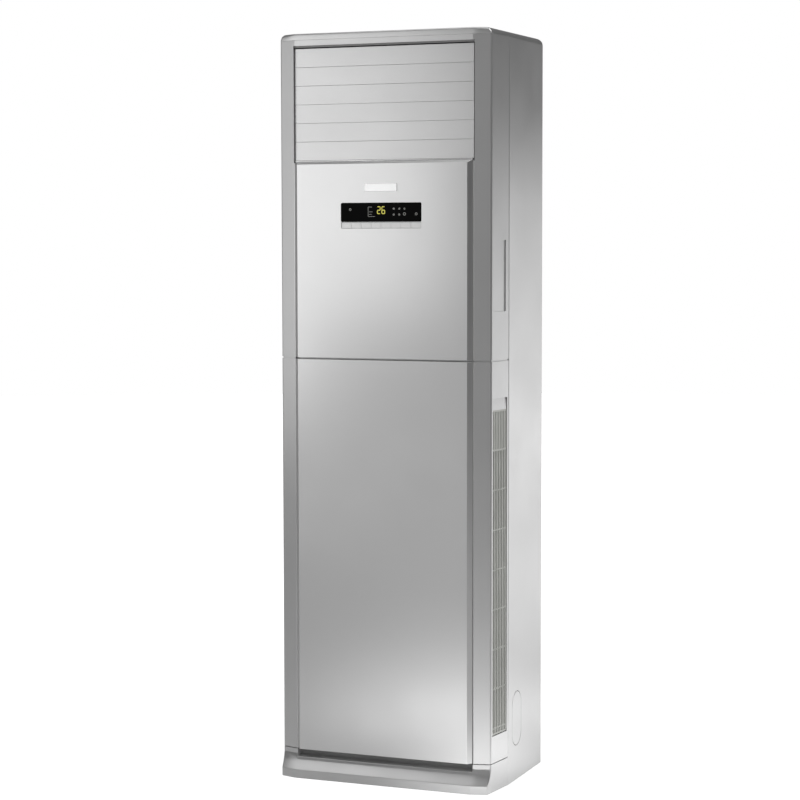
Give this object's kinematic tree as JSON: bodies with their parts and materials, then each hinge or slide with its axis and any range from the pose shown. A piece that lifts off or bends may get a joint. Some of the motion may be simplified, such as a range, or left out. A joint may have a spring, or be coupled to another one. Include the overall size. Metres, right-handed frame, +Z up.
{
  "type": "floor standing air conditioner",
  "caption": "Tall silver cabinet with swinging louvers over the front panels, side intake grilles, and a centrifugal fan below a slanted cooling coil.",
  "frame": {"origin": "on the floor, at the middle of the outline", "axes": "+Z up, the front panels face -Y, +X to the right seen from the front"},
  "size_m": [0.587, 0.394, 1.882],
  "materials": {
    "casing": "satin silver paint",
    "panel": "fine metallic silver paint",
    "side_sheet": "satin silver paint",
    "trim": "bright silver",
    "grille": "satin grey",
    "display": "gloss black",
    "board": "solder mask green",
    "white_plastic": "moulded",
    "dark_plastic": "moulded",
    "scroll": "moulded grey",
    "motor": "satin",
    "inner_steel": "galvanised",
    "coil": "fins",
    "copper": "drawn",
    "filter": "woven net",
    "hose": "matt"
  },
  "bodies": {
    "cabinet": {"base_pan": "inner_steel", "plinth_cover": "casing", "upper_casing": "casing", "lower_casing": "casing", "upper_panel": "panel", "lower_panel": "panel", "side_panel_left": "side_sheet", "side_panel_right": "side_sheet", "back_panel": "inner_steel", "top_cover": "casing", "badge_plate": "trim", "display_window": "display", "display_board": "board", "outlet_duct": "white_plastic", "louver_motor": "inner_steel", "vane_motor": "inner_steel", "evaporator_core": "coil", "evaporator_end_left": "copper", "evaporator_end_right": "copper", "drain_pan": "white_plastic", "drain_hose": "hose", "fan_scroll": "scroll", "inlet_ring": "dark_plastic", "fan_motor": "motor", "motor_bracket": "inner_steel", "electric_box": "inner_steel", "electric_box_lid": "inner_steel", "terminal_block": "dark_plastic", "gas_pipe": "copper", "liquid_pipe": "copper", "pipe_cover_left": "side_sheet", "pipe_cover_right": "side_sheet", "wall_bracket": "inner_steel", "cable_gland": "dark_plastic"},
    "louver_1": {"louver_1": "casing"},
    "louver_2": {"louver_2": "casing"},
    "louver_3": {"louver_3": "casing"},
    "louver_4": {"louver_4": "casing"},
    "louver_5": {"louver_5": "casing"},
    "louver_6": {"louver_6": "casing"},
    "louver_link": {"louver_link": "dark_plastic"},
    "vane_1": {"vane_1": "white_plastic"},
    "vane_2": {"vane_2": "white_plastic"},
    "vane_3": {"vane_3": "white_plastic"},
    "vane_4": {"vane_4": "white_plastic"},
    "vane_5": {"vane_5": "white_plastic"},
    "vane_link": {"vane_link": "dark_plastic"},
    "impeller": {"impeller": "dark_plastic"},
    "grille_left": {"intake_grille_left": "grille", "air_filter_left": "filter"},
    "grille_right": {"intake_grille_right": "grille", "air_filter_right": "filter"},
    "button_1": {"button_1": "trim"},
    "button_2": {"button_2": "trim"},
    "button_3": {"button_3": "trim"},
    "button_4": {"button_4": "trim"},
    "button_5": {"button_5": "trim"},
    "button_6": {"button_6": "trim"},
    "button_7": {"button_7": "trim"},
    "button_8": {"button_8": "trim"}
  },
  "joints": [
    {"name": "louver_1_tilt", "type": "hinge", "parent": "cabinet", "child": "louver_1", "pos_m": [0, -0.152, 1.82183], "axis": [-1, 0, 0], "range_deg": [0, 80]},
    {"name": "louver_2_tilt", "type": "hinge", "parent": "cabinet", "child": "louver_2", "pos_m": [0, -0.152, 1.7755], "axis": [-1, 0, 0], "range_deg": [0, 80]},
    {"name": "louver_3_tilt", "type": "hinge", "parent": "cabinet", "child": "louver_3", "pos_m": [0, -0.152, 1.72917], "axis": [-1, 0, 0], "range_deg": [0, 80]},
    {"name": "louver_4_tilt", "type": "hinge", "parent": "cabinet", "child": "louver_4", "pos_m": [0, -0.152, 1.68283], "axis": [-1, 0, 0], "range_deg": [0, 80]},
    {"name": "louver_5_tilt", "type": "hinge", "parent": "cabinet", "child": "louver_5", "pos_m": [0, -0.152, 1.6365], "axis": [-1, 0, 0], "range_deg": [0, 80]},
    {"name": "louver_6_tilt", "type": "hinge", "parent": "cabinet", "child": "louver_6", "pos_m": [0, -0.152, 1.59017], "axis": [-1, 0, 0], "range_deg": [0, 80]},
    {"name": "louver_link_swing", "type": "hinge", "parent": "louver_1", "child": "louver_link", "pos_m": [0.2388, -0.14128, 1.83083], "axis": [-1, 0, 0], "range_deg": [-80, 0]},
    {"name": "vane_1_swing", "type": "hinge", "parent": "cabinet", "child": "vane_1", "pos_m": [-0.1928, -0.099, 1.7065], "axis": [0, 0, 1], "range_deg": [-35, 35]},
    {"name": "vane_2_swing", "type": "hinge", "parent": "cabinet", "child": "vane_2", "pos_m": [-0.0964, -0.099, 1.7065], "axis": [0, 0, 1], "range_deg": [-35, 35]},
    {"name": "vane_3_swing", "type": "hinge", "parent": "cabinet", "child": "vane_3", "pos_m": [0, -0.099, 1.7065], "axis": [0, 0, 1], "range_deg": [-35, 35]},
    {"name": "vane_4_swing", "type": "hinge", "parent": "cabinet", "child": "vane_4", "pos_m": [0.0964, -0.099, 1.7065], "axis": [0, 0, 1], "range_deg": [-35, 35]},
    {"name": "vane_5_swing", "type": "hinge", "parent": "cabinet", "child": "vane_5", "pos_m": [0.1928, -0.099, 1.7065], "axis": [0, 0, 1], "range_deg": [-35, 35]},
    {"name": "vane_link_swing", "type": "hinge", "parent": "vane_1", "child": "vane_link", "pos_m": [-0.1928, -0.079, 1.5685], "axis": [0, 0, 1], "range_deg": [-35, 35]},
    {"name": "impeller_spin", "type": "hinge", "parent": "cabinet", "child": "impeller", "pos_m": [0, 0.043, 0.43], "axis": [0, 1, 0], "continuous": true},
    {"name": "grille_left_tilt", "type": "hinge", "parent": "cabinet", "child": "grille_left", "pos_m": [-0.2825, -0.11894, 0.1475], "axis": [0.1268, -0.9919, 0], "range_deg": [0, 15]},
    {"name": "grille_right_tilt", "type": "hinge", "parent": "cabinet", "child": "grille_right", "pos_m": [0.2825, -0.11894, 0.1475], "axis": [0.1268, 0.9919, 0], "range_deg": [0, 15]},
    {"name": "button_1_press", "type": "slide", "parent": "cabinet", "child": "button_1", "axis": [0, 1, 0], "range_m": [0, 0.0008], "stiffness_N_per_m": 400, "springref_m": -0.0005},
    {"name": "button_2_press", "type": "slide", "parent": "cabinet", "child": "button_2", "axis": [0, 1, 0], "range_m": [0, 0.0008], "stiffness_N_per_m": 400, "springref_m": -0.0005},
    {"name": "button_3_press", "type": "slide", "parent": "cabinet", "child": "button_3", "axis": [0, 1, 0], "range_m": [0, 0.0008], "stiffness_N_per_m": 400, "springref_m": -0.0005},
    {"name": "button_4_press", "type": "slide", "parent": "cabinet", "child": "button_4", "axis": [0, 1, 0], "range_m": [0, 0.0008], "stiffness_N_per_m": 400, "springref_m": -0.0005},
    {"name": "button_5_press", "type": "slide", "parent": "cabinet", "child": "button_5", "axis": [0, 1, 0], "range_m": [0, 0.0008], "stiffness_N_per_m": 400, "springref_m": -0.0005},
    {"name": "button_6_press", "type": "slide", "parent": "cabinet", "child": "button_6", "axis": [0, 1, 0], "range_m": [0, 0.0008], "stiffness_N_per_m": 400, "springref_m": -0.0005},
    {"name": "button_7_press", "type": "slide", "parent": "cabinet", "child": "button_7", "axis": [0, 1, 0], "range_m": [0, 0.0008], "stiffness_N_per_m": 400, "springref_m": -0.0005},
    {"name": "button_8_press", "type": "slide", "parent": "cabinet", "child": "button_8", "axis": [0, 1, 0], "range_m": [0, 0.0008], "stiffness_N_per_m": 400, "springref_m": -0.0005}
  ],
  "couplings": [
    {"joint": "louver_2_tilt", "follows": "louver_1_tilt", "ratio": 1},
    {"joint": "louver_3_tilt", "follows": "louver_1_tilt", "ratio": 1},
    {"joint": "louver_4_tilt", "follows": "louver_1_tilt", "ratio": 1},
    {"joint": "louver_5_tilt", "follows": "louver_1_tilt", "ratio": 1},
    {"joint": "louver_6_tilt", "follows": "louver_1_tilt", "ratio": 1},
    {"joint": "louver_link_swing", "follows": "louver_1_tilt", "ratio": -1},
    {"joint": "vane_2_swing", "follows": "vane_1_swing", "ratio": 1},
    {"joint": "vane_3_swing", "follows": "vane_1_swing", "ratio": 1},
    {"joint": "vane_4_swing", "follows": "vane_1_swing", "ratio": 1},
    {"joint": "vane_5_swing", "follows": "vane_1_swing", "ratio": 1},
    {"joint": "vane_link_swing", "follows": "vane_1_swing", "ratio": -1}
  ]
}
